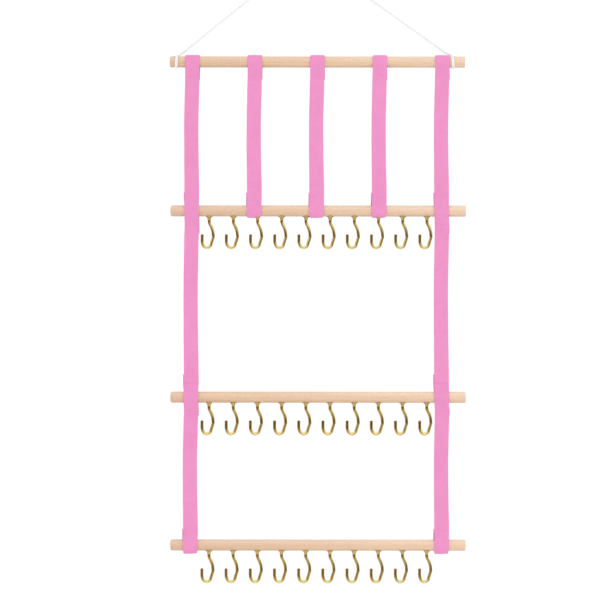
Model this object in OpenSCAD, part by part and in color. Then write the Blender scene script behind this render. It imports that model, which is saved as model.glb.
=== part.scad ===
// Wall-hanging accessory organiser: four round wooden rails carried one below
// the other by felt straps, with rows of screw-in question-mark hooks under
// the lower three rails, hung from a cord tied round the top rail.
// The origin is the underside of the cord's top bend, where it sits on a nail.
// +Z is up, +X runs along the rails, -Y is the front.  Millimetres.

/* [Rails] */
// Length of every wooden rail
rail_len = 400; // [390:1:440]
// Diameter of every wooden rail
rail_d = 15; // [14.5:0.5:17]
// Rounding of the rails' left ends
rail_end_left = 4.4; // [0.6:0.2:5]
// Rounding of the rails' right ends
rail_end_right = 1.4; // [0.6:0.2:5]

/* [Tiers] */
// Top rail to upper hook rail, centre to centre
tier_1 = 202; // [160:1:260]
// Upper hook rail to middle hook rail, centre to centre
tier_2 = 252.5; // [200:0.5:300]
// Middle hook rail to bottom hook rail, centre to centre
tier_3 = 200.5; // [160:0.5:260]

/* [Straps] */
// Width of the felt straps
strap_w = 19.8; // [16:0.2:20]
// Thickness of the felt
strap_t = 2; // [1.6:0.1:2.4]
// Distance between neighbouring straps
strap_pitch = 84.7; // [84.5:0.1:86]
// Distance from a rail's centre to the seam that closes a loop
seam_z = 19; // [16:0.5:19.5]
// Distance from the top rail's centre to the end of a loop's turned-back tail
tail_top = 24; // [22:0.5:30]
// Distance from the hook rails' centres to the end of a tail above them
tail_bottom = 25; // [24:0.5:30]
// Long reach of a rear sleeve patch from the rail's centre
patch_long = 31; // [28:0.5:36]
// Depth of the creased fold under the bottom rail, from the rail's centre
crease_z = 12.2; // [12:0.1:12.8]

/* [Hooks] */
// Distance between neighbouring hooks
hook_pitch = 32.8; // [30:0.1:32.9]
// Wire diameter of the hooks
hook_wire = 4; // [3:0.1:4.1]
// Flange diameter of the hooks
flange_d = 9; // [7:0.1:9.2]
// Outer diameter of the wood thread
thread_d = 3; // [2.6:0.1:3.4]

/* [Cord] */
// Diameter of the hanging cord
cord_d = 2.2; // [1.8:0.1:2.4]

/* [Hidden] */
$fn = 64;
rr = rail_d / 2;                 // rail radius
fit = 0.05;                      // running clearance of felt round a rail
ri = rr + fit;                   // inside radius of a felt loop
ro = ri + strap_t;               // outside radius of a felt loop
t = strap_t;
hang_rise = 144;                 // top rail's centre below the origin
hang_side = 16;                  // rails' centre to the right of the origin
strap_side = -1.2;               // the straps, and the top rail with them, sit this far off the middle
seam_in = seam_z - 1.3;          // where the two layers come together
seam_out = seam_z + 1.3;         // where the two layers part again
slit = 0.15;                     // air between a loose tail and its strap
bend_below = 3;                  // bend line below a rear patch's end
bend_gap = t / 2 + 0.5;          // strap starts this far below a bend line
patch_short = tail_bottom;       // short reach of a rear sleeve patch
z2 = -tier_1;
z3 = -tier_1 - tier_2;
z4 = -tier_1 - tier_2 - tier_3;
bend_1 = z2 - patch_long - bend_below;    // bend line under the upper hook rail
bend_2 = z3 - patch_short - bend_below;   // bend line under the middle hook rail
seat_z = -sqrt(rr * rr - pow(flange_d / 2 + 0.15, 2));  // flange seat in a rail
flange_z = -rr - 2;              // lower end of a hook's flange, where the wire starts
screw_z = 4;                     // top of a hook's wood thread
wire_r = hook_wire / 2;
neck_r = wire_r + 0.7;           // the wire thickens to this under its flange
felt = "#f094cd";
felt_dark = "#ec92cb";
beech = "#ecd0b3";
brass = "#c8a24a";
cotton = "#f4f4f2";

// hook wire from the flange down: [bend radius or 0, length or turn in degrees],
// a positive turn bends towards +X while the wire runs down
hook_run = [[0, 4.5], [9, 27], [0, 3.2], [28, -23], [0, 2.4], [5, -21], [0, 10.6],
            [5.4, -73], [0, 0.4], [5, -60], [0, 0.4], [13, -30], [0, 8.4]];
wire_slim = 0.03;                // straight wire is drawn this much under the bends
wire_lap = 0.25;                 // and runs this far into them

// hanging cord: hand-chosen points of the taut run, left tie to nail to right tie
cord_route = [[-175.2, -135.3], [-172.4, -135.2], [-170.7, -134.1],
              [-5, -0.7], [-3.4, 0.3], [-1.7, 0.9], [0, 1.1], [1.7, 0.9], [3.3, 0.4], [4.7, -0.4],
              [190.8, -133], [194.5, -133.1], [197.2, -134.9]];
cord_step = 6.6;

// ---------------------------------------------------------------- helpers
function hook_x(i) = (i - 4.5) * hook_pitch;
// the point where a line from p touches a circle of radius r, on the +Y side
function touch(p, r) =
  let (d = norm(p), a = atan2(p[1], p[0]), b = acos(r / d)) r * [cos(a + b), sin(a + b)];
function flip(p) = [-p[0], p[1]];

module at_rail(z) translate([hang_side, 0, z - hang_rise]) children();
// a profile drawn in Y and Z, made as wide as a strap
module strap_wide() translate([-strap_w / 2, 0, 0]) rotate([90, 0, 90]) linear_extrude(height = strap_w) children();

module strap_wide_more() translate([-strap_w / 2 - 1, 0, 0]) rotate([90, 0, 90]) linear_extrude(height = strap_w + 2) children();

// ---------------------------------------------------------------- strap profiles
// drop-shaped outline that closes to the two layers of felt at the seam below
module drop_outer() {
  circle(r = ro);
  polygon([touch([t, -seam_in], ro), flip(touch([t, -seam_in], ro)), [-t, -seam_in], [t, -seam_in]]);
}
module drop_inner() {
  circle(r = ri);
  polygon([touch([0, -seam_in + 0.8], ri), flip(touch([0, -seam_in + 0.8], ri)), [0, -seam_in + 0.8]]);
}
// the closed loop over a rail, with its seam and its loose tail behind
module loop_profile(tail) {
  difference() { drop_outer(); drop_inner(); }
  translate([-t, -seam_out]) square([2 * t, seam_out - seam_in + 0.4]);
  translate([slit, -tail]) square([t - slit, tail - seam_out + 0.4]);
}
// the loop under the bottom rail: its fold is creased, so it hangs a little low
crease_tip = crease_z + 0.95;    // where the fold's outer faces would meet
crease_in = ri * crease_tip / ro;
crease_w = 0.95 * tan(asin(ro / crease_tip));
module creased_loop(tail) {
  difference() {
    union() {
      strap_wide() mirror([0, 1]) drop_outer();
      strap_wide() polygon([[ro * sin(60), -ro * cos(60)], touch([0, -crease_tip], ro - 0.04), [crease_w, -crease_z],
        [-crease_w, -crease_z], flip(touch([0, -crease_tip], ro - 0.04)), [-ro * sin(60), -ro * cos(60)]]);
    }
    rotate([0, 90, 0]) cylinder(r = ri, h = strap_w + 2, center = true);
    strap_wide_more() mirror([0, 1]) drop_inner();
    strap_wide_more() polygon([touch([0, -crease_in], ri - 0.04), [0, -crease_in], flip(touch([0, -crease_in], ri - 0.04))]);
  }
  strap_wide() translate([-t, seam_in - 0.4]) square([2 * t, seam_out - seam_in + 0.4]);
  strap_wide() translate([slit, seam_out - 0.4]) square([t - slit, tail - seam_out + 0.4]);
}
// a rail's sleeve, both layers, closed above and below the rail
module sleeve_profile() {
  difference() {
    union() { drop_outer(); mirror([0, 1]) drop_outer(); }
    drop_inner();
    mirror([0, 1]) drop_inner();
  }
}
module sleeve_front() intersection() { sleeve_profile(); translate([-40, -40]) square([40, 80]); }
module sleeve_back() intersection() { sleeve_profile(); translate([0, -40]) square([40, 80]); }
// a plain run of strap from one height down to another, in front of the rail plane
module run(top, bottom) translate([-t, bottom]) square([t, top - bottom]);
module round_end(z) translate([-t / 2, z]) circle(r = t / 2);

// ---------------------------------------------------------------- rails
module rail_bar()
  rotate([0, 90, 0]) rotate_extrude()
    polygon([[0, -rail_len / 2],
             for (a = [0:15:90]) [rr - rail_end_left + rail_end_left * sin(a), -rail_len / 2 + 0.55 * rail_end_left * (1 - cos(a))],
             for (a = [90:-15:0]) [rr - rail_end_right + rail_end_right * sin(a), rail_len / 2 - 0.7 * rail_end_right * (1 - cos(a))],
             [0, rail_len / 2]]);
module drilled_bar()
  difference() {
    rail_bar();
    for (i = [0:9]) translate([hook_x(i), 0, 0]) {
      translate([0, 0, seat_z - 20]) cylinder(d = flange_d + 0.3, h = 20);
      translate([0, 0, seat_z - 1]) cylinder(d = thread_d + 0.06, h = screw_z + 0.4 - seat_z + 1);
    }
  }
module top_rail() color(beech) at_rail(0) translate([strap_side, 0, 0]) rail_bar();
module upper_hook_rail() color(beech) at_rail(z2) drilled_bar();
module middle_hook_rail() color(beech) at_rail(z3) drilled_bar();
module bottom_hook_rail() color(beech) at_rail(z4) drilled_bar();

// ---------------------------------------------------------------- hooks
// place and heading of the wire after n pieces, as [x, z, heading]
function step(s, e) = e[0] == 0
  ? [s[0] + e[1] * sin(s[2]), s[1] - e[1] * cos(s[2]), s[2]]
  : let (k = sign(e[1]), h = s[2] + e[1])
    [s[0] + k * e[0] * (cos(s[2]) - cos(h)), s[1] - k * e[0] * (sin(h) - sin(s[2])), h];
function wire_at(n) = n == 0 ? [0, flange_z, 0] : step(wire_at(n - 1), hook_run[n - 1]);
// a bend of the wire
module wire_bend(n) {
  s = wire_at(n);
  e = hook_run[n];
  k = sign(e[1]);
  translate([s[0] + k * e[0] * cos(s[2]), 0, s[1] + k * e[0] * sin(s[2])])
    rotate([90, 0, 0]) rotate([0, 0, (k > 0 ? 180 + s[2] : s[2] + e[1])])
      rotate_extrude(angle = abs(e[1])) translate([e[0], 0]) circle(d = hook_wire);
}
// a straight stretch between two bends
module wire_straight(n) {
  s = wire_at(n);
  translate([s[0], 0, s[1]]) rotate([0, 180 - s[2], 0])
    translate([0, 0, -wire_lap]) cylinder(r = wire_r - wire_slim, h = hook_run[n][1] + 2 * wire_lap);
}
// the free end, cut square with its edge broken
module wire_tip(n) {
  s = wire_at(n);
  r = wire_r - wire_slim;
  h = hook_run[n][1];
  translate([s[0], 0, s[1]]) rotate([0, 180 - s[2], 0])
    rotate_extrude() polygon([[0, -wire_lap], [r, -wire_lap], [r, h], [r - 0.35, h + 0.4], [0, h + 0.4]]);
}
// wood thread, flange and the first straight stretch, all turned on one axis
module screw_and_flange()
  rotate_extrude()
    polygon([[0, flange_z - hook_run[0][1] - wire_lap], [wire_r - wire_slim, flange_z - hook_run[0][1] - wire_lap],
             [wire_r - wire_slim, flange_z - 3], [neck_r, flange_z + 0.6], [flange_d / 2 - 0.4, -rr - 0.8],
             [flange_d / 2, -rr - 0.4], [flange_d / 2, seat_z], [thread_d / 2 - 0.4, seat_z],
             for (k = [0:6]) each [[thread_d / 2 - 0.4, seat_z + 0.6 + 1.2 * k],
                                   [thread_d / 2, seat_z + 1.1 + 1.2 * k],
                                   [thread_d / 2 - 0.4, seat_z + 1.5 + 1.2 * k]],
             [thread_d / 2 - 0.5, screw_z - 1.2], [0, screw_z]]);
module hook(i, z)
  color(brass) at_rail(z) translate([hook_x(i), 0, 0]) {
    screw_and_flange();
    for (n = [1:len(hook_run) - 2]) if (hook_run[n][0] == 0) wire_straight(n); else wire_bend(n);
    wire_tip(len(hook_run) - 1);
  }
module upper_hook(i) hook(i, z2);
module middle_hook(i) hook(i, z3);
module bottom_hook(i) hook(i, z4);

// ---------------------------------------------------------------- straps
// outer straps: one long strip each, divided at the two lines where it bends
module outer_upper(side)
  color(felt) at_rail(0) translate([strap_side + 2 * side * strap_pitch, 0, 0]) strap_wide() {
    loop_profile(tail_top);
    run(-seam_in, z2 + seam_in - 0.4);
    translate([0, z2]) sleeve_front();
    run(z2 - seam_in + 0.4, bend_1);
    round_end(bend_1);
  }
module outer_middle(side)
  color(felt) at_rail(0) translate([strap_side + 2 * side * strap_pitch, 0, 0]) strap_wide() {
    run(bend_1 - bend_gap, z3 + seam_in - 0.4);
    translate([0, z3]) sleeve_front();
    run(z3 - seam_in + 0.4, bend_2);
    round_end(bend_2);
  }
module outer_lower(side)
  color(felt) at_rail(0) translate([strap_side + 2 * side * strap_pitch, 0, 0]) {
    strap_wide() run(bend_2 - bend_gap, z4 + seam_in - 0.4);
    translate([0, 0, z4]) creased_loop(tail_bottom - 3);
  }
module left_strap_upper() outer_upper(-1);
module left_strap_middle() outer_middle(-1);
module left_strap_lower() outer_lower(-1);
module right_strap_upper() outer_upper(1);
module right_strap_middle() outer_middle(1);
module right_strap_lower() outer_lower(1);

// inner straps: a loop over the top rail and a loop under the upper hook rail,
// with a hole through the lower loop where a hook comes out of it
module inner_strap(side, hook_no)
  color(felt) at_rail(0) difference() {
    translate([strap_side + side * strap_pitch, 0, 0]) strap_wide() {
      loop_profile(tail_top);
      run(-seam_in, z2 + seam_in);
      translate([0, z2]) mirror([0, 1]) loop_profile(tail_bottom);
    }
    if (hook_no >= 0) translate([hook_x(hook_no), 0, z2]) {
      translate([0, 0, flange_z - 0.15]) cylinder(d1 = 2 * neck_r + 1, d2 = flange_d + 1.2, h = 1.5);
      translate([0, 0, flange_z + 1.3]) cylinder(d = flange_d + 1.2, h = 6);
      translate([0, 0, -ro - 3]) cylinder(d = 2 * neck_r + 1, h = 8);
    }
  }
module inner_left_strap() inner_strap(-1, 2);
module centre_strap() inner_strap(0, -1);
module inner_right_strap() inner_strap(1, 7);

// rear patches: sewn to an outer strap above and below a rail, they close its sleeve
module sleeve_patch(side, z, up, down)
  color(felt_dark) at_rail(z) translate([strap_side + 2 * side * strap_pitch, 0, 0]) strap_wide() {
    sleeve_back();
    translate([0, seam_in - 0.4]) square([t, up - seam_in + 0.4]);
    translate([0, -down]) square([t, down - seam_in + 0.4]);
  }
module left_upper_sleeve_patch() sleeve_patch(-1, z2, patch_short, patch_long);
module right_upper_sleeve_patch() sleeve_patch(1, z2, patch_short, patch_long);
module left_middle_sleeve_patch() sleeve_patch(-1, z3, patch_long, patch_short);
module right_middle_sleeve_patch() sleeve_patch(1, z3, patch_long, patch_short);

// a row of stitches across a strap, on its front and on the layer behind
module seam(x, z)
  translate([strap_side + x, 0, z]) for (i = [-2.5:1:2.5], y = [-t - 0.3, t])
    translate([i * 3 - 1.1, y, -0.35]) cube([2.2, 0.3, 0.7]);
module upper_stitching()
  color(felt_dark) at_rail(0) {
    for (s = [-2:2]) seam(s * strap_pitch, -seam_z);
    for (s = [-1:1]) seam(s * strap_pitch, z2 + seam_z);
    for (s = [-2, 2], d = [-1, 1]) seam(s * strap_pitch, z2 + d * seam_z);
  }
module middle_stitching()
  color(felt_dark) at_rail(z3) for (s = [-2, 2], d = [-1, 1]) seam(s * strap_pitch, d * seam_z);
module lower_stitching()
  color(felt_dark) at_rail(z4) for (s = [-2, 2]) seam(s * strap_pitch, seam_z);

// ---------------------------------------------------------------- cord
// the taut cord between its two ties, as one tube of eight sides
function between(a, b) = let (n = max(1, round(norm(b - a) / cord_step))) [for (i = [0:n - 1]) a + (b - a) * i / n];
cord_line = [for (i = [0:len(cord_route) - 2]) each between(cord_route[i], cord_route[i + 1]), cord_route[len(cord_route) - 1]];
cord_n = len(cord_line);
function cord_dir(i) = let (d = cord_line[min(i + 1, cord_n - 1)] - cord_line[max(i - 1, 0)]) d / norm(d);
module hanging_cord() color(cotton)
  polyhedron(
    points = [for (i = [0:cord_n - 1], a = [0:45:315])
      let (d = cord_dir(i), p = cord_line[i])
      [p[0] - d[1] * cos(a) * cord_d / 2, sin(a) * cord_d / 2, p[1] + d[0] * cos(a) * cord_d / 2]],
    faces = [[for (a = [0:7]) 7 - a],
      for (i = [0:cord_n - 2], a = [0:7]) [i * 8 + a, i * 8 + (a + 1) % 8, i * 8 + 8 + (a + 1) % 8, i * 8 + 8 + a],
      [for (a = [0:7]) (cord_n - 1) * 8 + a]]);
// two turns of the cord round the top rail, drawn tight, knotted behind it, with its cut end
tie_r = (rr + cord_d / 2 + 0.03) / cos(5);
tie_d = cord_d - 0.34;
module cord_tie(x, lean)
  color(cotton) at_rail(0) translate([x, 0, 0]) {
    rotate([0, lean, 0]) rotate([0, 90, 0]) for (s = [-1, 1]) translate([0, 0, s * 0.95]) rotate_extrude() translate([tie_r, 0]) circle(d = tie_d);
    rotate([-45, 0, 0]) translate([0, 0, tie_r + 1.3]) rotate([0, -sign(lean) * 80, 0]) {
      sphere(r = cord_d * 1.1);
      cylinder(d = cord_d, h = 8);
    }
  }
module left_cord_tie() cord_tie(-191.9, 5);
module right_cord_tie() cord_tie(182.2, -4);

hanging_cord();
left_cord_tie();
right_cord_tie();
top_rail();
upper_hook_rail();
middle_hook_rail();
bottom_hook_rail();
left_strap_upper();
left_strap_middle();
left_strap_lower();
right_strap_upper();
right_strap_middle();
right_strap_lower();
inner_left_strap();
centre_strap();
inner_right_strap();
left_upper_sleeve_patch();
right_upper_sleeve_patch();
left_middle_sleeve_patch();
right_middle_sleeve_patch();
upper_stitching();
middle_stitching();
lower_stitching();
upper_hook(0);  // upper_hook_01
upper_hook(1);  // upper_hook_02
upper_hook(2);  // upper_hook_03
upper_hook(3);  // upper_hook_04
upper_hook(4);  // upper_hook_05
upper_hook(5);  // upper_hook_06
upper_hook(6);  // upper_hook_07
upper_hook(7);  // upper_hook_08
upper_hook(8);  // upper_hook_09
upper_hook(9);  // upper_hook_10
middle_hook(0);  // middle_hook_01
middle_hook(1);  // middle_hook_02
middle_hook(2);  // middle_hook_03
middle_hook(3);  // middle_hook_04
middle_hook(4);  // middle_hook_05
middle_hook(5);  // middle_hook_06
middle_hook(6);  // middle_hook_07
middle_hook(7);  // middle_hook_08
middle_hook(8);  // middle_hook_09
middle_hook(9);  // middle_hook_10
bottom_hook(0);  // bottom_hook_01
bottom_hook(1);  // bottom_hook_02
bottom_hook(2);  // bottom_hook_03
bottom_hook(3);  // bottom_hook_04
bottom_hook(4);  // bottom_hook_05
bottom_hook(5);  // bottom_hook_06
bottom_hook(6);  // bottom_hook_07
bottom_hook(7);  // bottom_hook_08
bottom_hook(8);  // bottom_hook_09
bottom_hook(9);  // bottom_hook_10
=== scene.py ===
"""Looks of the wall-hanging accessory organiser: felt straps, beech rails, brass hooks and a cotton cord."""
import math

import bpy
import numpy as np
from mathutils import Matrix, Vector, noise


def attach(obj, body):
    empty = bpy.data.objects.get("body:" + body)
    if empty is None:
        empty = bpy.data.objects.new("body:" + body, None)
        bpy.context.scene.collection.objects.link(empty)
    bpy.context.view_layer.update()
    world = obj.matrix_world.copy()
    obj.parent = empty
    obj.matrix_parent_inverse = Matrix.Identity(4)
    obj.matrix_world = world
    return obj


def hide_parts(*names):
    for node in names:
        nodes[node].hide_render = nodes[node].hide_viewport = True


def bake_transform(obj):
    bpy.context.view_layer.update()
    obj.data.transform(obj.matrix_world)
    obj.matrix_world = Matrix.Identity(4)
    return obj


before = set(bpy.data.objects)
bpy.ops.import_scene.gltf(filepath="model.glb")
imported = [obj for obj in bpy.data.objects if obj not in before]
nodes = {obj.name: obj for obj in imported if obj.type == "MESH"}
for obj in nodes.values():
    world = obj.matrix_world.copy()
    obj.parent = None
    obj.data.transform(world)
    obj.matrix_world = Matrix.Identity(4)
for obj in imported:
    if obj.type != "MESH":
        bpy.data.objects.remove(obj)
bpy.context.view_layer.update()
scene = bpy.context.scene

MM = 0.001
RAIL_Z = (-144.0, -346.0, -598.5, -799.0)   # rail centres in the row frame, mm
MID_X = 16.0                                # middle of the rails
RAIL_R = 7.5
PITCH = 84.7                                # between straps
STRAP_X = 14.8                              # middle of the centre strap
FELT_T = 2.0
SEAM = 19.0                                 # rail centre to a seam

# ------------------------------------------------------------------ camera
DISTANCE, VIEW = 4.0, 0.8136
camera_data = bpy.data.cameras.new("camera")
camera_data.sensor_width = 36.0
camera_data.lens = 36.0 * DISTANCE / VIEW
camera_data.clip_end = 100.0
camera = bpy.data.objects.new("camera", camera_data)
scene.collection.objects.link(camera)
camera.location = (-0.0084, -DISTANCE, -0.4667)
camera.rotation_euler = (math.radians(90), math.radians(-0.05), 0)
scene.camera = camera


# ------------------------------------------------------------------ mesh helpers
def mesh_object(name, verts, faces, material=None, smooth=True):
    mesh = bpy.data.meshes.new(name)
    mesh.from_pydata([tuple(v) for v in verts], [], [tuple(f) for f in faces])
    mesh.update()
    if smooth:
        mesh.shade_smooth()
    obj = bpy.data.objects.new(name, mesh)
    scene.collection.objects.link(obj)
    if material:
        mesh.materials.append(material)
    return obj


def along(points):
    """Length along a line of points."""
    return np.concatenate([[0], np.cumsum(np.linalg.norm(np.diff(points, axis=0), axis=1))])


def resample(columns, step, geometry):
    """columns again at about equal steps along the line that its first few columns draw."""
    s = along(columns[:, :geometry])
    at = np.linspace(0, s[-1], max(3, int(round(s[-1] / step)) + 1))
    return np.stack([np.interp(at, s, columns[:, k]) for k in range(columns.shape[1])], axis=1), at


def soften(columns, step, sigma):
    """Gaussian smoothing that keeps the two ends where they are."""
    n = max(1, int(3 * sigma / step))
    k = np.exp(-0.5 * (np.arange(-n, n + 1) * step / sigma) ** 2)
    k /= k.sum()
    out = np.empty_like(columns)
    for c in range(columns.shape[1]):
        v = columns[:, c]
        padded = np.concatenate([2 * v[0] - v[n:0:-1], v, 2 * v[-1] - v[-2:-n - 2:-1]])
        out[:, c] = np.convolve(padded, k, mode="valid")
    return out


def tube(points, radius, sides, phase=0.0, closed_ends=True):
    """Vertices and faces of a round tube along points, with a steady frame. radius may change along it."""
    p = np.array(points, float)
    r = np.full(len(p), radius) if np.isscalar(radius) else np.array(radius, float)
    t = np.gradient(p, axis=0)
    t /= np.linalg.norm(t, axis=1)[:, None]
    up = np.array([0.0, 1.0, 0.0]) if abs(t[0][1]) < 0.9 else np.array([1.0, 0.0, 0.0])
    n = np.cross(up, t[0])
    n /= np.linalg.norm(n)
    verts, faces = [], []
    for i in range(len(p)):
        n = n - t[i] * (n @ t[i])
        n /= np.linalg.norm(n)
        b = np.cross(t[i], n)
        for k in range(sides):
            a = phase + 2 * math.pi * k / sides
            verts.append(p[i] + r[i] * (math.cos(a) * n + math.sin(a) * b))
    for i in range(len(p) - 1):
        for k in range(sides):
            k2 = (k + 1) % sides
            faces.append((i * sides + k, i * sides + k2, (i + 1) * sides + k2, (i + 1) * sides + k))
    if closed_ends:
        faces.append(tuple(range(sides - 1, -1, -1)))
        faces.append(tuple((len(p) - 1) * sides + k for k in range(sides)))
    return verts, faces


def rope(points, diameter, pitch, step, sides=8, strands=3, flat=1.0, start=0.0):
    """Vertices and faces of a laid rope: strands wound round a line of points, all in metres.
    diameter may be a list of thicknesses at equal steps along it."""
    line, s = resample(np.array(points, float), step, 3)
    thick = np.atleast_1d(np.array(diameter, float))
    thick = np.interp(s / s[-1], np.linspace(0, 1, len(thick)), thick) if len(thick) > 1 else np.full(len(s), thick[0])
    t = np.gradient(line, axis=0)
    t /= np.linalg.norm(t, axis=1)[:, None]
    up = np.array([0.0, 1.0, 0.0]) if abs(t[0][1]) < 0.9 else np.array([1.0, 0.0, 0.0])
    n = np.cross(up, t[0])
    n /= np.linalg.norm(n)
    frames = []
    for i in range(len(line)):
        n = n - t[i] * (n @ t[i])
        n /= np.linalg.norm(n)
        frames.append((n.copy(), np.cross(t[i], n)))
    r = thick / 2 * 0.62
    off = thick / 2 - r
    verts, faces = [], []
    for k in range(strands):
        path = []
        for i in range(len(line)):
            a = start + 2 * math.pi * (s[i] / pitch + k / strands)
            path.append(line[i] + off[i] * (math.cos(a) * frames[i][0] + math.sin(a) * frames[i][1]))
        v, f = tube(path, r, sides)
        base = len(verts)
        verts += v
        faces += [tuple(x + base for x in face) for face in f]
    return verts, faces


# ------------------------------------------------------------------ material helpers
class Nodes:
    """A short way to write a node tree."""

    def __init__(self, name):
        self.material = bpy.data.materials.new(name)
        self.material.use_nodes = True
        self.tree = self.material.node_tree
        self.shader = self.tree.nodes["Principled BSDF"]
        self.out = self.tree.nodes["Material Output"]

    def node(self, kind, **values):
        n = self.tree.nodes.new(kind)
        for k, v in values.items():
            if k in n.inputs:
                n.inputs[k].default_value = v
            else:
                setattr(n, k, v)
        return n

    def link(self, a, b):
        self.tree.links.new(a, b)

    def set(self, **values):
        for k, v in values.items():
            self.shader.inputs[k.replace("_", " ")].default_value = v

    def coords(self):
        return self.node("ShaderNodeTexCoord").outputs["Object"]

    def mapped(self, vector, scale=(1, 1, 1), turn=(0, 0, 0), shift=(0, 0, 0)):
        n = self.node("ShaderNodeMapping", Scale=scale, Rotation=turn, Location=shift)
        self.link(vector, n.inputs["Vector"])
        return n.outputs["Vector"]

    def noise(self, vector, scale, detail=2.0, rough=0.5, distortion=0.0):
        n = self.node("ShaderNodeTexNoise", Scale=scale, Detail=detail, Roughness=rough, Distortion=distortion)
        self.link(vector, n.inputs["Vector"])
        return n.outputs["Fac"]

    def math(self, how, a, b=None, clamp=False):
        n = self.node("ShaderNodeMath", operation=how, use_clamp=clamp)
        for i, x in enumerate((a, b)):
            if x is None:
                continue
            if isinstance(x, (int, float)):
                n.inputs[i].default_value = x
            else:
                self.link(x, n.inputs[i])
        return n.outputs[0]

    def span(self, value, low, high, to_low=0.0, to_high=1.0):
        n = self.node("ShaderNodeMapRange")
        n.inputs["From Min"].default_value, n.inputs["From Max"].default_value = low, high
        n.inputs["To Min"].default_value, n.inputs["To Max"].default_value = to_low, to_high
        self.link(value, n.inputs["Value"])
        return n.outputs["Result"]

    def mix(self, fac, a, b, blend="MIX"):
        n = self.node("ShaderNodeMix", data_type="RGBA", blend_type=blend)
        for name, x in (("Factor", fac), ("A", a), ("B", b)):
            sockets = [i for i in n.inputs if i.name == name and i.enabled]
            s = sockets[-1] if name != "Factor" else sockets[0]
            if isinstance(x, (int, float)):
                s.default_value = x
            elif isinstance(x, (tuple, list)):
                s.default_value = (*x[:3], 1.0)
            else:
                self.link(x, s)
        return [o for o in n.outputs if o.enabled][0]

    def bump(self, height, strength, distance, normal=None):
        n = self.node("ShaderNodeBump", Strength=strength, Distance=distance)
        self.link(height, n.inputs["Height"])
        if normal is not None:
            self.link(normal, n.inputs["Normal"])
        return n.outputs["Normal"]


def felt_material(name, light, dark, seed):
    m = Nodes(name)
    at = m.mapped(m.coords(), shift=(seed, 0.37 * seed, -0.61 * seed))
    # matted fibres: three sets of stretched noise lying across each other
    fibres = None
    for i, turn in enumerate((12.0, 71.0, -49.0)):
        v = m.mapped(at, scale=(3300, 1500, 420), turn=(0, math.radians(turn), 0), shift=(i * 3.1, 0, 0))
        f = m.noise(v, 1.0, 2.0, 0.55)
        fibres = f if fibres is None else m.math("MAXIMUM", fibres, f)
    clumps = m.noise(at, 420.0, 3.0, 0.6)
    mottle = m.noise(at, 70.0, 2.0, 0.55)
    worn = m.noise(at, 17.0, 1.0)
    shade = m.math("ADD", m.math("MULTIPLY", m.span(fibres, 0.42, 0.8), 0.34),
                   m.math("ADD", m.math("MULTIPLY", m.span(clumps, 0.3, 0.7), 0.26),
                          m.math("ADD", m.math("MULTIPLY", m.span(mottle, 0.3, 0.7), 0.24),
                                 m.math("MULTIPLY", m.span(worn, 0.3, 0.7), 0.16))))
    m.link(m.mix(shade, dark, light), m.shader.inputs["Base Color"])
    m.link(m.span(fibres, 0.4, 0.85, 0.98, 0.86), m.shader.inputs["Roughness"])
    n = m.bump(clumps, 0.35, 0.0004)
    n = m.bump(fibres, 0.5, 0.00018, n)
    m.link(n, m.shader.inputs["Normal"])
    m.set(Specular_IOR_Level=0.12, Sheen_Weight=0.22, Sheen_Roughness=0.55)
    m.shader.inputs["Sheen Tint"].default_value = (1.0, 0.72, 0.88, 1.0)
    return m.material


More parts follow.
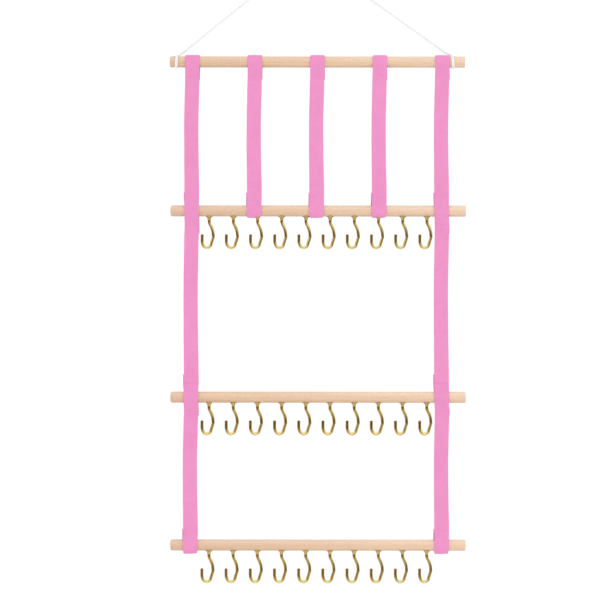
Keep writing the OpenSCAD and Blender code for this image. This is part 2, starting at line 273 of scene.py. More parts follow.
def wood_material(name, seed, centre_z, warm):
    """Beech dowel: growth rings as a solid texture, short ray flecks, faint long streaks; painted shade low on the rail
    and painted light towards its right end.
    """
    m = Nodes(name)
    at = m.mapped(m.coords(), shift=(seed * 0.173, 0, -centre_z * MM))
    # slow wander of the grain along the rail
    wander = m.noise(m.mapped(at, scale=(9, 40, 40)), 1.0, 2.0, 0.5)
    sep = m.node("ShaderNodeSeparateXYZ")
    m.link(at, sep.inputs[0])
    turn = 0.6 + 1.9 * seed
    py, pz = 0.021 * math.cos(turn), 0.021 * math.sin(turn)
    dy = m.math("SUBTRACT", sep.outputs["Y"], py)
    dz = m.math("SUBTRACT", sep.outputs["Z"], pz)
    r = m.math("SQRT", m.math("ADD", m.math("MULTIPLY", dy, dy), m.math("MULTIPLY", dz, dz)))
    r = m.math("ADD", r, m.math("MULTIPLY", wander, 0.006))
    ring = m.math("SINE", m.math("MULTIPLY", r, 2 * math.pi / 0.0026))
    ring = m.span(ring, -1.0, 1.0)
    streak = m.noise(m.mapped(at, scale=(14, 620, 620)), 1.0, 3.0, 0.6)
    fine = m.noise(m.mapped(at, scale=(90, 3600, 3600)), 1.0, 2.0, 0.5)
    fleck = m.noise(m.mapped(at, scale=(330, 2300, 2300), shift=(seed, 0, 0)), 1.0, 1.0, 0.5)
    fleck = m.span(fleck, 0.60, 0.70)
    tone = m.noise(m.mapped(at, scale=(11, 60, 60), shift=(2 * seed, 0, 0)), 1.0, 1.0)
    painted_low_shade = m.span(sep.outputs["Z"], -0.0065, 0.0055, 1.0, 0.0)       # painted shade: wood darker and redder low on each rail, as if lit from above
    pale, tan = (0.875, 0.67, 0.51), (0.67, 0.462, 0.31)
    pale = tuple(a * b for a, b in zip(pale, warm))
    shade = m.math("ADD", m.math("MULTIPLY", ring, 0.2),
                   m.math("ADD", m.math("MULTIPLY", m.span(streak, 0.3, 0.7), 0.42),
                          m.math("MULTIPLY", m.span(fine, 0.3, 0.7), 0.12)))
    # painted shade joins the grain here: low on the rail the colour moves towards tan
    shade = m.math("ADD", m.math("MULTIPLY", shade, 0.75), m.math("MULTIPLY", painted_low_shade, 0.62), clamp=True)
    colour = m.mix(shade, pale, tan)
    colour = m.mix(m.math("MULTIPLY", m.span(tone, 0.42, 0.72), 0.35), colour, (0.76, 0.52, 0.367))
    colour = m.mix(m.math("MULTIPLY", fleck, 0.4), colour, (0.36, 0.2, 0.1))
    place = m.node("ShaderNodeSeparateXYZ")
    m.link(m.coords(), place.inputs[0])
    painted_right_light = m.mix(m.span(place.outputs["X"], -0.125, 0.208), (0.885, 0.84, 0.795), (1.0, 1.0, 1.0))     # painted light: wood paler towards the right end of each rail, standing in for light from the right
    colour = m.mix(1.0, colour, painted_right_light, "MULTIPLY")
    m.link(colour, m.shader.inputs["Base Color"])
    m.link(m.span(streak, 0.3, 0.7, 0.4, 0.52), m.shader.inputs["Roughness"])
    n = m.bump(fine, 0.22, 0.00012)
    n = m.bump(fleck, 0.2, -0.00012, n)
    m.link(n, m.shader.inputs["Normal"])
    m.set(Specular_IOR_Level=0.5)
    return m.material


def brass_material(name, centre_z):
    """Polished brass plate with faint drawing lines and a little unevenness; flange and neck keep a satin finish."""
    m = Nodes(name)
    at = m.coords()
    cloud = m.noise(at, 260.0, 3.0, 0.6)
    sep = m.node("ShaderNodeSeparateXYZ")
    m.link(at, sep.inputs[0])
    satin = m.span(sep.outputs["Z"], (centre_z - 11.0) * MM, (centre_z - 8.4) * MM)
    fine = m.noise(m.mapped(at, scale=(5200, 5200, 700)), 1.0, 2.0, 0.5)
    plate = m.mix(m.span(cloud, 0.3, 0.75), (0.87, 0.69, 0.285), (0.76, 0.57, 0.195))
    m.link(m.mix(satin, plate, (0.66, 0.505, 0.235)), m.shader.inputs["Base Color"])
    rough = m.math("ADD", m.span(cloud, 0.25, 0.75, 0.12, 0.22), m.math("MULTIPLY", satin, 0.4))
    m.link(rough, m.shader.inputs["Roughness"])
    m.link(m.bump(fine, 0.08, 0.00005), m.shader.inputs["Normal"])
    m.set(Metallic=1.0)
    m.shader.inputs["Specular Tint"].default_value = (1.0, 0.92, 0.75, 1.0)
    return m.material


def thread_material(name, light, dark):
    m = Nodes(name)
    at = m.coords()
    twist = m.noise(m.mapped(at, scale=(2600, 2600, 2600), turn=(0, math.radians(35), 0)), 1.0, 1.0)
    m.link(m.mix(m.span(twist, 0.35, 0.65), dark, light), m.shader.inputs["Base Color"])
    m.link(m.span(twist, 0.3, 0.7, 0.55, 0.75), m.shader.inputs["Roughness"])
    m.link(m.bump(twist, 0.4, 0.0001), m.shader.inputs["Normal"])
    m.set(Specular_IOR_Level=0.25, Sheen_Weight=0.15)
    return m.material


def cotton_material(name, dark, light):
    m = Nodes(name)
    at = m.coords()
    fibre = m.noise(m.mapped(at, scale=(4200, 900, 4200), turn=(0.4, 0.5, 0)), 1.0, 2.0)
    cloud = m.noise(at, 90.0, 2.0)
    shade = m.math("ADD", m.math("MULTIPLY", m.span(fibre, 0.3, 0.7), 0.6), m.math("MULTIPLY", m.span(cloud, 0.3, 0.7), 0.4))
    m.link(m.mix(shade, dark, light), m.shader.inputs["Base Color"])
    m.link(m.span(fibre, 0.3, 0.7, 0.8, 0.95), m.shader.inputs["Roughness"])
    m.link(m.bump(fibre, 0.45, 0.00012), m.shader.inputs["Normal"])
    m.set(Specular_IOR_Level=0.15, Sheen_Weight=0.2)
    return m.material


PINK, PINK_DARK = (0.80, 0.295, 0.550), (0.70, 0.232, 0.462)
felt_a = felt_material("felt_outer", PINK, PINK_DARK, 0.0)
felt_b = felt_material("felt_inner", PINK, PINK_DARK, 1.7)
felt_c = felt_material("felt_patch", (0.785, 0.287, 0.538), (0.685, 0.226, 0.452), 3.1)
thread = thread_material("sewing_thread", (0.80, 0.292, 0.546), (0.70, 0.230, 0.460))
cotton = cotton_material("cotton_cord", (0.74, 0.745, 0.75), (0.83, 0.835, 0.84))
cotton_clean = cotton_material("cotton_turns", (0.82, 0.825, 0.82), (0.91, 0.91, 0.90))
brass = {row: brass_material(row + "_polished_brass", z) for row, z in zip(("upper", "middle", "bottom"), RAIL_Z[1:])}

# ------------------------------------------------------------------ hanging cord
CORD_D = 0.0022
# the taut run from the left tie over the nail to the right tie, as in the CAD source
route = [(-175.2, -135.3), (-172.4, -135.2), (-170.7, -134.1),
         (-5, -0.7), (-3.4, 0.3), (-1.7, 0.9), (0, 1.1), (1.7, 0.9), (3.3, 0.4), (4.7, -0.4),
         (190.8, -133), (194.5, -133.1), (197.2, -134.9)]
raw = np.array([(x * MM, 0.0, z * MM) for x, z in route])
line, _ = resample(raw, 0.0008, 3)
line = soften(line, 0.0008, 0.0018)
# soft laid cotton: wider over its strands than the CAD tube, drawn thinner where it goes into the ties
cord_obj = mesh_object("hanging_cord_rope", *rope(line, [0.0021] + [0.0031] * 32 + [0.0021], 0.0100, 0.00065, 7), cotton)
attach(cord_obj, "hanging_set")
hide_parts("hanging_cord")


def tie(name, x, lean, node, mirror):
    """Two turns of cord round the top rail, a knot behind it and its cut end."""
    thick = 1.95
    turn_r = RAIL_R + thick / 2 + 0.1
    zc = RAIL_Z[0]
    k = math.radians(lean)
    pts = []
    # from the run's end over the front, under the rail, round once more and up the back to the knot
    for a in np.linspace(-8, 682, 190):
        q = math.radians(a)
        y, z = -turn_r * math.sin(q), turn_r * math.cos(q)
        d = min(1.0, max(0.0, (a - 205) / 120))
        side = mirror * (0.9 * (2 * d * d * (3 - 2 * d) - 1))
        pts.append(((x + side + z * math.tan(k)) * MM, y * MM, (zc + z) * MM))
    v, f = rope(pts, thick * MM, 0.0078, 0.0006, 7)
    # overhand knot drawn up tight behind the rail's top
    kc = np.array([x + math.tan(k) * 7.3, 7.9, zc + 7.6])
    knot = []
    for q in np.linspace(0, 2 * math.pi, 74):
        a = (math.sin(q) + 2 * math.sin(2 * q)) * 0.78
        b = (math.cos(q) - 2 * math.cos(2 * q)) * 0.78
        c = -math.sin(3 * q) * 1.05
        p = kc + np.array([a, (b - c) * 0.62, (b + c) * 0.62])
        knot.append(p * MM)
    v2, f2 = rope(knot, CORD_D * 0.9, 0.0070, 0.0006, 7)
    # the cut end, a little frayed
    tail, base = [], kc + np.array([1.0 * mirror, 1.0, 1.2])
    for q in np.linspace(0, 1, 16):
        tail.append((base + np.array([mirror * (4.6 * q + 1.2 * q * q), 1.2 * q, 2.4 * q - 4.6 * q * q])) * MM)
    v3, f3 = rope(tail, CORD_D * 0.95, 0.0074, 0.0006, 7)
    verts, faces = list(v), list(f)
    for vv, ff in ((v2, f2), (v3, f3)):
        b0 = len(verts)
        verts += vv
        faces += [tuple(i + b0 for i in face) for face in ff]
    o = mesh_object(name, verts, faces, cotton_clean)
    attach(o, "hanging_set")
    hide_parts(node)
    return o


tie_left = tie("left_cord_turn", -175.9, 5, "left_cord_tie", -1)
tie_right = tie("right_cord_turn", 198.2, -4, "right_cord_tie", 1)

# ------------------------------------------------------------------ felt straps
FACE_N = 15          # points across a face
CORNER = 0.5         # rounding of the felt's cut edge, mm
MIDDLE_R = RAIL_R + 0.1 + FELT_T / 2


def px_z(y):
    """Height in the row frame, mm, of a height in the picture."""
    return -144.0 + (62.0 - y) * 1.356


def turn(zc, a0, a1, dx0, dx1, hw0, hw1, more=None, r=MIDDLE_R):
    """Felt round a rail: angles from the top, positive towards the front. more(a) gives (narrowing, crown, tilt)."""
    out = []
    n = int(abs(a1 - a0) / 4) + 2
    for i, a in enumerate(np.linspace(a0, a1, n)):
        q, s = math.radians(a), i / (n - 1)
        nar, crown, tilt = more(a) if more else (0, 0, 0)
        out.append((-r * math.sin(q), zc + r * math.cos(q), dx0 + (dx1 - dx0) * s,
                    hw0 + (hw1 - hw0) * s - nar, crown, tilt))
    return out


def flat(y, z, dx, hw):
    return (y, z, dx, hw, 0.0, 0.0)


def felt_strip(name, controls, x0, seams, material, seed, sigma=1.15, step=1.15, cut=(True, True), wave=0.22, still=()):
    """One strip of felt. controls are (y, z, sideways shift, half width, crown, tilt) along it, in mm;
    seams are the heights where stitches pull it in; cut says which ends are free cut edges."""
    c, _ = resample(np.array(controls, float), 0.35, 2)
    c = soften(c, 0.35, sigma)
    # sideways shift and width change slowly along the strip
    c[:, 2:4] = soften(c[:, 2:4], 0.35, 2.2)
    c, s = resample(c, step, 2)
    if cut[0]:
        extra = np.array([0.0, 0.12, 0.32, 0.6])
        c = np.vstack([np.stack([np.interp(extra, s, c[:, k]) for k in range(6)], axis=1), c[1:]])
        s = np.concatenate([extra, s[1:]])
    if cut[1]:
        extra = s[-1] - np.array([0.6, 0.32, 0.12, 0.0])
        c = np.vstack([c[:-1], np.stack([np.interp(extra, s, c[:, k]) for k in range(6)], axis=1)])
        s = np.concatenate([s[:-1], extra])
    total = s[-1]
    ty, tz = np.gradient(c[:, 0], s), np.gradient(c[:, 1], s)
    size = np.hypot(ty, tz)
    ty, tz = ty / size, tz / size
    ny, nz = tz, -ty                      # outwards
    half = FELT_T / 2
    verts, per = [], 0
    for i in range(len(c)):
        y, z, dx, hw, crown, tilt = c[i]
        inset = 0.0
        for end, free in ((s[i], cut[0]), (total - s[i], cut[1])):
            if free and end < CORNER:
                inset = max(inset, CORNER - math.sqrt(max(0.0, CORNER ** 2 - (CORNER - end) ** 2)))
        # free runs hang a little unevenly
        near = min(abs(z - r) for r in RAIL_Z)
        loose = min(1.0, max(0.0, (near - 26.0) / 30.0))
        w = wave * loose * (noise.noise(Vector((seed, z * 0.018, 0))) + 0.5 * noise.noise(Vector((seed + 5, z * 0.05, 0))))
        hw = hw + 0.12 * noise.noise(Vector((seed + 9, s[i] * 0.06, 0)))
        dent = sum(math.exp(-0.5 * ((z - q) / 0.85) ** 2) for q in seams)
        ring = []
        h, e = half - inset, hw - inset
        for k in range(FACE_N):           # outer face, left to right
            u = -1 + 2 * k / (FACE_N - 1)
            stitched = dent * (0.17 + 0.06 * math.cos(u * e * 2 * math.pi / 3.0)) * (1 if abs(u * e) < 9.2 else 0.55)
            ring.append((u * (e - CORNER), h - stitched - crown * abs(u) ** 3 - tilt * u, u))
        for q in (60, 30, 0):
            a = math.radians(q)
            ring.append((e - CORNER + CORNER * math.cos(a), h - CORNER + CORNER * math.sin(a) - 0.2 * dent - crown - tilt, 1))
        for q in (-30, -60):
            a = math.radians(q)
            ring.append((e - CORNER + CORNER * math.cos(a), -h + CORNER + CORNER * math.sin(a), 1))
        for k in range(FACE_N):           # inner face, right to left
            u = 1 - 2 * k / (FACE_N - 1)
            ring.append((u * (e - CORNER), -h, u))
        for q in (-120, -150):
            a = math.radians(q)
            ring.append((-e + CORNER + CORNER * math.cos(a), -h + CORNER + CORNER * math.sin(a), -1))
        for q in (180, 150, 120):
            a = math.radians(q)
            ring.append((-e + CORNER + CORNER * math.cos(a), h - CORNER + CORNER * math.sin(a) - 0.2 * dent - crown + tilt, -1))
        per = len(ring)
        for px, po, u in ring:
            q = Vector((px * 0.42 + seed * 7, s[i] * 0.42, po * 0.5))
            rough = 0.075 * noise.noise(q) + 0.04 * noise.noise(q * 2.3)
            if po < 0:
                rough *= 0.25             # the inside stays clear of what it wraps
            o = po + (rough if po > 0 else min(0.0, rough))
            o = max(o, -half)
            curl = 0.10 * loose * u * u * noise.noise(Vector((seed + 3, s[i] * 0.02, 0)))
            verts.append(((STRAP_X + x0 + dx + px + 0.06 * noise.noise(Vector((seed, s[i] * 0.7, u * 3)))) * MM,
                          (y + ny[i] * (o + w + curl)) * MM,
                          (z + nz[i] * (o + w + curl)) * MM))
    faces = []
    for i in range(len(c) - 1):
        for k in range(per):
            k2 = (k + 1) % per
            faces.append((i * per + k, (i + 1) * per + k, (i + 1) * per + k2, i * per + k2))
    faces.append(tuple(range(per)))
    faces.append(tuple((len(c) - 1) * per + k for k in range(per - 1, -1, -1)))
    obj = mesh_object(name, verts, faces, material)
    obj.data.polygons[len(faces) - 1].use_smooth = False
    obj.data.polygons[len(faces) - 2].use_smooth = False
    return obj, total


def under(a):
    """Round the bottom of a tight loop the felt draws in at its edges."""
    d = min(1.0, max(0.0, 1 - abs(a - 180) / 38.0))
    d = d * d * (3 - 2 * d)
    return (1.5 * d, 0.5 * d, 0.2 * d)


def over(a):
    d = min(1.0, max(0.0, 1 - abs(a) / 50.0))
    d = d * d * (3 - 2 * d)
    return (0.25 * d, 0.1 * d, 0.0)


z1, z2, z3, z4 = RAIL_Z
TANGENT = 115.7          # where felt leaves a rail towards a seam below it
G = 1.03                 # middle of a layer at a seam, from the plane of the rails
SEAM_IN, SEAM_OUT = SEAM - 1.3, SEAM + 1.5


def top_loop(tail, loop, first):
    """From the loose tail up behind the top rail, over it and down to the seam in front."""
    return ([flat(1.13, z1 - 24, tail, 9.75), flat(1.13, z1 - SEAM_OUT, tail, 9.8), flat(G, z1 - SEAM, tail, 9.8),
             flat(G, z1 - SEAM_IN, tail, 9.8)]
            + turn(z1, -TANGENT, TANGENT, tail * 0.8, loop, 9.8, 9.8, over)
            + [flat(-G, z1 - SEAM_IN, first, 9.78), flat(-G, z1 - SEAM, first, 9.78)])


def run_down(heights, shifts, widths):
    return [flat(-G, px_z(y), d, w) for y, d, w in zip(heights, shifts, widths)]


def punch(obj, x, z):
    """The hole through a felt loop where a hook's flange and wire come out of it."""
    rings = ((3.3, -13.5), (3.3, -9.75), (5.2, -8.25), (5.2, -4.2))
    n, verts, faces = 48, [], []
    for r, h in rings:
        verts += [((x + r * math.cos(2 * math.pi * k / n)) * MM, r * math.sin(2 * math.pi * k / n) * MM, (z + h) * MM) for k in range(n)]
    for i in range(len(rings) - 1):
        faces += [(i * n + k, i * n + (k + 1) % n, (i + 1) * n + (k + 1) % n, (i + 1) * n + k) for k in range(n)]
    faces += [tuple(range(n - 1, -1, -1)), tuple((len(rings) - 1) * n + k for k in range(n))]
    cutter = mesh_object("cutter", verts, faces)
    mod = obj.modifiers.new("hole", "BOOLEAN")
    mod.operation, mod.solver, mod.object = "DIFFERENCE", "EXACT", cutter
    done = bpy.data.meshes.new_from_object(obj.evaluated_get(bpy.context.evaluated_depsgraph_get()))
    obj.modifiers.clear()
    obj.data = done
    bpy.data.objects.remove(cutter)


pieces = {}
TIER_1_Y = (82, 100, 115, 130, 145, 160, 175, 186)
TIER_1_W = (9.78, 9.74, 9.7, 9.68, 9.72, 9.78, 9.9, 10.05)
STRAPS = {  # sideways shifts in mm: tail, loop and seam at the top rail; down the tier; loop and tail at the upper hook rail; hook in its loop
    "inner_left_strap": (-PITCH, (0.55, 0.1, 0.05), (-0.25, -0.8, -1.3, -1.4, -1.4, -1.15, -0.8, -0.5), (-0.65, -1.75), -82.0),
    "centre_strap": (0.0, (0.6, 0.0, 0.0), (-0.3, -0.8, -1.45, -1.6, -1.5, -1.3, -0.95, -0.7), (-0.85, -1.85), None),
    "inner_right_strap": (PITCH, (0.5, 0.0, -0.05), (-0.4, -0.9, -1.45, -1.55, -1.5, -1.3, -1.0, -0.65), (-0.8, -1.8), 82.0),
}
for n_strap, (node, (x0, top, down, end, hook_at)) in enumerate(STRAPS.items()):
    controls = top_loop(*top) + run_down(TIER_1_Y, down, TIER_1_W)
    controls += [flat(-G, z2 + SEAM, down[-1], 10.05), flat(-G, z2 + SEAM_IN, down[-1], 10.05)]
    controls += turn(z2, 180 - TANGENT, 180 + TANGENT, end[0], end[1], 10.0, 10.0, under)
    controls += [flat(G, z2 + SEAM_IN, end[1], 10.0), flat(G, z2 + SEAM, end[1], 10.0),
                 flat(1.13, z2 + SEAM_OUT, end[1], 10.0), flat(1.13, z2 + 25, end[1], 9.95)]
    seams = (z1 - SEAM, z2 + SEAM)
    o, length = felt_strip(node + "_felt", controls, x0, seams, felt_b, 11.3 + 6.1 * n_strap)
    if hook_at is not None:
        punch(o, MID_X + hook_at, z2)
    pieces[node] = (o, length)
    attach(o, "upper_tier")
    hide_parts(node)

TIER_2_Y = (222, 236, 260, 280, 300, 320, 340, 360)
TIER_2_W = (9.85, 9.8, 9.75, 9.66, 9.68, 9.73, 9.8, 9.98)
TIER_3_Y = (417, 440, 460, 480, 500, 520)
TIER_3_W = (9.8, 9.74, 9.68, 9.72, 9.82, 10.0)
OUTER = {  # sideways shifts in mm: as above, then on each rail, down each tier, and of the patches' ends
    "left": dict(x=-2 * PITCH, top=(0.6, 0.1, 0.0), tier_1=(-0.1, -0.75, -1.3, -1.45, -1.25, -1.15, -0.85, -0.6),
                 rail_2=-0.7, tier_2=(-0.4, -1.0, -1.55, -2.0, -2.1, -1.95, -1.75, -1.3), above_3=-1.05,
                 rail_3=-1.55, below_3=-1.1, tier_3=(-1.6, -2.4, -2.95, -2.85, -2.6, -2.1), above_4=-1.95,
                 rail_4=-2.35, tail=-3.3, patch_2=(-1.67, -0.8, 0.0), patch_3=(-2.4, -1.7, -0.7)),
    "right": dict(x=2 * PITCH, top=(0.5, -0.05, -0.1), tier_1=(-0.4, -1.0, -1.45, -1.65, -1.55, -1.35, -1.1, -0.85),
                  rail_2=-1.05, tier_2=(-0.2, -0.4, -1.1, -1.55, -1.65, -1.5, -1.2, -0.95), above_3=-0.7,
                  rail_3=-0.7, below_3=0.0, tier_3=(0.0, -0.75, -1.25, -1.15, -0.9, -0.5), above_4=-0.3,
                  rail_4=-0.65, tail=-1.5, patch_2=(-2.0, -0.9, 0.33), patch_3=(-2.05, -0.6, 0.7)),
}


def creased(a):
    """Towards the fold under the bottom rail the felt draws in at its edges."""
    d = min(1.0, max(0.0, (a - 112) / 40.0))
    return (0.35 * d * d, 0.1 * d, 0.1 * d)


for n_side, (side, t) in enumerate(OUTER.items()):
    x0 = t["x"]
    # upper strip: tail and loop on the top rail, sleeve on the upper hook rail, down to the middle sleeve's upper seam
    controls = top_loop(*t["top"]) + run_down(TIER_1_Y, t["tier_1"], TIER_1_W)
    controls += [flat(-G, z2 + SEAM, t["tier_1"][-1], 10.05), flat(-G, z2 + SEAM_IN, t["tier_1"][-1], 10.0)]
    controls += turn(z2, 180 - TANGENT, TANGENT, t["rail_2"], t["rail_2"], 9.9, 9.85)
    controls += [flat(-G, z2 - SEAM_IN, t["tier_2"][0], 9.85), flat(-G, z2 - SEAM, t["tier_2"][0], 9.85)]
    controls += run_down(TIER_2_Y[1:], t["tier_2"][1:], TIER_2_W[1:])
    controls += [flat(-G, z3 + SEAM + 6, t["above_3"], 10.1), flat(-G, z3 + SEAM, t["above_3"], 10.08)]
    seams = (z1 - SEAM, z2 + SEAM, z2 - SEAM, z3 + SEAM)
    a, length_a = felt_strip(side + "_strap_upper_felt", controls, x0, seams, felt_a, 31.7 + 17 * n_side, cut=(True, False))
    # lower strip: middle sleeve, then down to the creased loop under the bottom rail and its tail
    controls = [flat(-G, z3 + SEAM, t["above_3"], 10.08), flat(-G, z3 + SEAM_IN, t["above_3"], 10.05)]
    controls += turn(z3, 180 - TANGENT, TANGENT, t["rail_3"], t["rail_3"], 9.95, 9.85)
    controls += [flat(-G, z3 - SEAM_IN, t["below_3"], 9.85), flat(-G, z3 - SEAM, t["below_3"], 9.85)]
    controls += run_down(TIER_3_Y, t["tier_3"], TIER_3_W)
    controls += [flat(-G, z4 + SEAM, t["above_4"], 10.1), flat(-G, z4 + SEAM_IN, t["above_4"], 10.05)]
    controls += turn(z4, 180 - TANGENT, 138, t["rail_4"], t["rail_4"], 10.0, 9.95, creased)
    controls += [(-2.6, z4 - 9.3, t["rail_4"], 9.7, 0.25, 0.2), (-1.0, z4 - 11.0, t["rail_4"], 8.9, 0.4, 0.3), (0.0, z4 - 11.45, t["rail_4"], 8.5, 0.5, 0.3),
                 (1.0, z4 - 11.0, t["rail_4"], 8.9, 0.4, 0.3), (2.6, z4 - 9.3, t["rail_4"], 9.7, 0.25, 0.2)]
    controls += turn(z4, 222, 180 + TANGENT, t["rail_4"], t["tail"], 9.95, 10.0)
    controls += [flat(G, z4 + SEAM_IN, t["tail"], 10.0), flat(G, z4 + SEAM, t["tail"], 10.0),
                 flat(1.1, z4 + SEAM_OUT, t["tail"], 10.0), flat(1.1, z4 + 22, t["tail"], 9.95)]
    seams = (z3 + SEAM, z3 - SEAM, z4 + SEAM)
    b, length_b = felt_strip(side + "_strap_lower_felt", controls, x0, seams, felt_a, 34.9 + 17 * n_side, cut=(False, True), sigma=0.95)
    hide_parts(side + "_strap_upper", side + "_strap_middle")
    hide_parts(side + "_strap_lower")
    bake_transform(a)
    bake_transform(b)
    # rear patches that close the two sleeves; each sits a little askew
    for where, zc, up_end, down_end, body, shifts in (("upper", z2, 25.0, 31.0, "upper_tier", t["patch_2"]),
                                                      ("middle", z3, 31.0, 25.0, "middle_tier", t["patch_3"])):
        node = f"{side}_{where}_sleeve_patch"
        controls = ([flat(1.05, zc - down_end, shifts[2], 9.75), flat(G, zc - SEAM, shifts[2], 9.8), flat(G, zc - SEAM_IN, shifts[2], 9.8)]
                    + turn(zc, -TANGENT, TANGENT - 180, shifts[1], shifts[1], 9.85, 9.85)
                    + [flat(G, zc + SEAM_IN, shifts[0], 9.9), flat(G, zc + SEAM, shifts[0], 9.9), flat(1.05, zc + up_end, shifts[0], 9.95)])
        p, length = felt_strip(node + "_felt", controls, x0, (zc - SEAM, zc + SEAM), felt_c, 61.0 + 3.7 * len(pieces))
        pieces[node] = (p, length)
        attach(p, body)
        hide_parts(node)

# ------------------------------------------------------------------ stitches
STRAP_SHIFT = {}
for s, node in ((-1, "inner_left_strap"), (0, "centre_strap"), (1, "inner_right_strap")):
    _, top, down, end, _ = STRAPS[node]
    STRAP_SHIFT[s] = {z1 - SEAM: (top[2], top[0]), z2 + SEAM: (down[-1], end[1])}
for s, side in ((-2, "left"), (2, "right")):
    t = OUTER[side]
    STRAP_SHIFT[s] = {z1 - SEAM: (t["top"][2], t["top"][0]), z2 + SEAM: (t["tier_1"][-1], t["patch_2"][0]),
                      z2 - SEAM: (t["tier_2"][0], t["patch_2"][2]), z3 + SEAM: (t["above_3"], t["patch_3"][0]),
                      z3 - SEAM: (t["below_3"], t["patch_3"][2]), z4 + SEAM: (t["above_4"], t["tail"])}


def stitch(cx, cy, cz, length, radius, lean, out):
    """One stitch: a short thread that dips into the felt at both ends."""
    pts, rad = [], []
    for q in np.linspace(-1, 1, 9):
        pts.append(((cx + q * length / 2) * MM, (cy + out * (0.16 - 0.5 * q ** 4)) * MM, (cz + lean * q) * MM))
        rad.append(radius * (1.0 - 0.35 * abs(q) ** 3) * MM)
    return tube(pts, rad, 8)


def seam_mesh(name, body, node, seams):
    verts, faces = [], []
    for s, z in seams:
        for out, which in ((-1, 0), (1, 1)):
            dx = STRAP_SHIFT[s][z][which]
            for i in range(6):
                q = noise.noise(Vector((s * 3.3 + i, z * 0.11, out * 2.0)))
                q2 = noise.noise(Vector((s * 1.7 + i * 2, z * 0.07, out * 5.0)))
                v, f = stitch(STRAP_X + s * PITCH + dx + (i - 2.5) * 3.0 + 0.12 * q, out * 1.72, z + 0.10 * q2,
                              2.3 + 0.2 * q2, 0.30, 0.10 * q, out)
                base = len(verts)
                verts += v
                faces += [tuple(k + base for k in face) for face in f]
    o = mesh_object(name, verts, faces, thread)
    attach(o, body)
    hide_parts(node)
    return o


seam_mesh("upper_stitches", "upper_tier", "upper_stitching",
          [(s, z1 - SEAM) for s in (-2, -1, 0, 1, 2)] + [(s, z2 + SEAM) for s in (-2, -1, 0, 1, 2)] + [(s, z2 - SEAM) for s in (-2, 2)])
seam_mesh("middle_stitches", "middle_tier", "middle_stitching", [(s, z3 + d * SEAM) for s in (-2, 2) for d in (-1, 1)])
seam_mesh("lower_stitches", "lower_tier", "lower_stitching", [(s, z4 + SEAM) for s in (-2, 2)])

# ------------------------------------------------------------------ rails and hooks keep their CAD shapes
RAILS = {"top_rail": (0.3, (1.0, 0.99, 0.96)), "upper_hook_rail": (1.9, (1.0, 0.985, 0.97)),
         "middle_hook_rail": (3.4, (1.01, 1.0, 0.98)), "bottom_hook_rail": (5.2, (1.01, 0.985, 0.985))}
for i, (node, (seed, warm)) in enumerate(RAILS.items()):
    m = wood_material(node + "_beech", seed, RAIL_Z[i], warm)
    nodes[node].data.materials.clear()
    nodes[node].data.materials.append(m)
for n, o in nodes.items():
    if "_hook_" in n and not n.endswith("rail"):
        o.data.materials.clear()
        o.data.materials.append(brass[n.split("_")[0]])

# ------------------------------------------------------------------ stage and light
def plain(name, colour, rough=0.9):
    m = Nodes(name)
    grain = m.noise(m.coords(), 3.0, 2.0)
    m.link(m.mix(grain, colour, tuple(min(1.0, c * 1.02) for c in colour)), m.shader.inputs["Base Color"])
    m.set(Roughness=rough, Specular_IOR_Level=0.1)
    return m.material


def disc(name, radius, z, material):
    n = 96
    verts = [(0.016 + radius * math.cos(2 * math.pi * k / n), radius * math.sin(2 * math.pi * k / n), z) for k in range(n)]
    return mesh_object(name, verts, [tuple(range(n))], material, smooth=False)


floor = disc("floor", 40.0, -1.02, plain("pale_floor", (0.94, 0.94, 0.94)))
floor.visible_glossy = False

world = bpy.data.worlds.new("studio")
scene.world = world
world.use_nodes = True
wt = world.node_tree
back = wt.nodes["Background"]
coords = wt.nodes.new("ShaderNodeTexCoord")
split = wt.nodes.new("ShaderNodeSeparateXYZ")
span = wt.nodes.new("ShaderNodeMapRange")
wt.links.new(coords.outputs["Generated"], split.inputs[0])
wt.links.new(split.outputs["Z"], span.inputs["Value"])
span.inputs["From Min"].default_value, span.inputs["From Max"].default_value = 0.0, 1.0
span.inputs["To Min"].default_value, span.inputs["To Max"].default_value = 1.04, 1.12
wt.links.new(span.outputs["Result"], back.inputs["Strength"])
back.inputs["Color"].default_value = (1, 1, 1, 1)


def area(name, place, aim, size, power, colour=(1, 1, 1)):
    d = bpy.data.lights.new(name, "AREA")
    d.shape, d.size, d.size_y, d.energy, d.color = "RECTANGLE", size[0], size[1], power, colour
    o = bpy.data.objects.new(name, d)
    scene.collection.objects.link(o)
    o.location = place
    o.rotation_euler = (Vector(aim) - Vector(place)).to_track_quat("-Z", "Y").to_euler()
    return o


key = area("key", (1.0, -6.0, -0.3), (0.0, 0, -0.45), (3.4, 1.3), 42.0)
key.visible_glossy = False


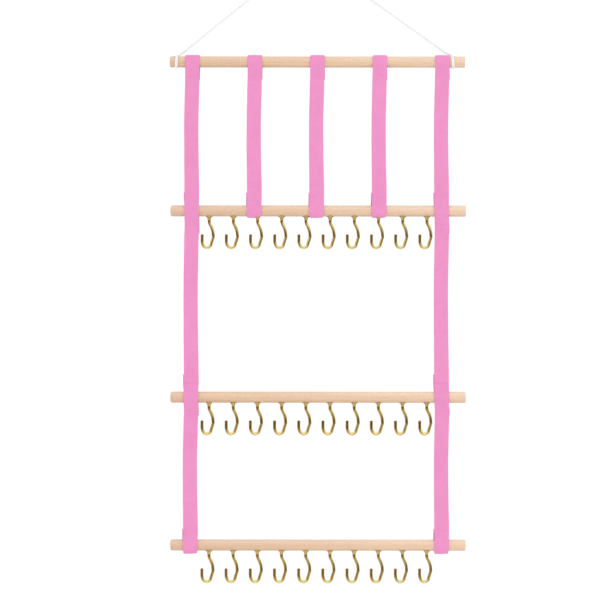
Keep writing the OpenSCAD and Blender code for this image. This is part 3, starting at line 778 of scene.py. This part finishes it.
def tent(name, radius):
    """The room that polished metal sees: pale above and below, with a low dark band round the front."""
    n, rows = 48, 24
    verts = [(0, 0, radius)]
    for i in range(1, rows):
        a = math.pi * i / rows
        verts += [(radius * math.sin(a) * math.cos(2 * math.pi * k / n), radius * math.sin(a) * math.sin(2 * math.pi * k / n), radius * math.cos(a)) for k in range(n)]
    verts.append((0, 0, -radius))
    faces = [(0, 1 + k, 1 + (k + 1) % n) for k in range(n)]
    for i in range(rows - 2):
        b = 1 + i * n
        faces += [(b + k, b + n + k, b + n + (k + 1) % n, b + (k + 1) % n) for k in range(n)]
    b, last = 1 + (rows - 2) * n, len(verts) - 1
    faces += [(b + k, last, b + (k + 1) % n) for k in range(n)]
    m = Nodes(name + "_cloth")
    sep = m.node("ShaderNodeSeparateXYZ")
    m.link(m.mapped(m.coords(), scale=(1 / radius,) * 3), sep.inputs[0])
    rise = m.math("ABSOLUTE", m.math("ADD", sep.outputs["Z"], 0.035))
    above = m.span(sep.outputs["Z"], 0.12, 0.6)
    below = m.span(sep.outputs["Z"], -0.40, -0.85)
    colour = m.mix(m.math("ADD", above, m.math("MULTIPLY", below, 0.75), clamp=True), (0.66, 0.55, 0.34), (1.5, 1.72, 2.1))
    colour = m.mix(m.span(sep.outputs["Y"], 0.1, 0.6), colour, (0.30, 0.22, 0.11))
    front = m.math("MULTIPLY", m.span(sep.outputs["Y"], 0.15, -0.25), m.span(rise, 0.24, 0.07))
    colour = m.mix(front, colour, (0.095, 0.052, 0.012))
    glow = m.node("ShaderNodeEmission")
    m.link(colour, glow.inputs["Color"])
    m.link(glow.outputs[0], m.out.inputs["Surface"])
    m.material.cycles.emission_sampling = "NONE"
    o = mesh_object(name, verts, faces, m.material)
    o.location = (0.016, 0, -0.5)
    o.visible_camera = o.visible_diffuse = o.visible_shadow = o.visible_transmission = False
    return o


tent("tent", 12.0)

scene.view_settings.view_transform = "Standard"
scene.view_settings.look = "None"
scene.view_settings.exposure = 0.0
scene.view_settings.gamma = 1.0
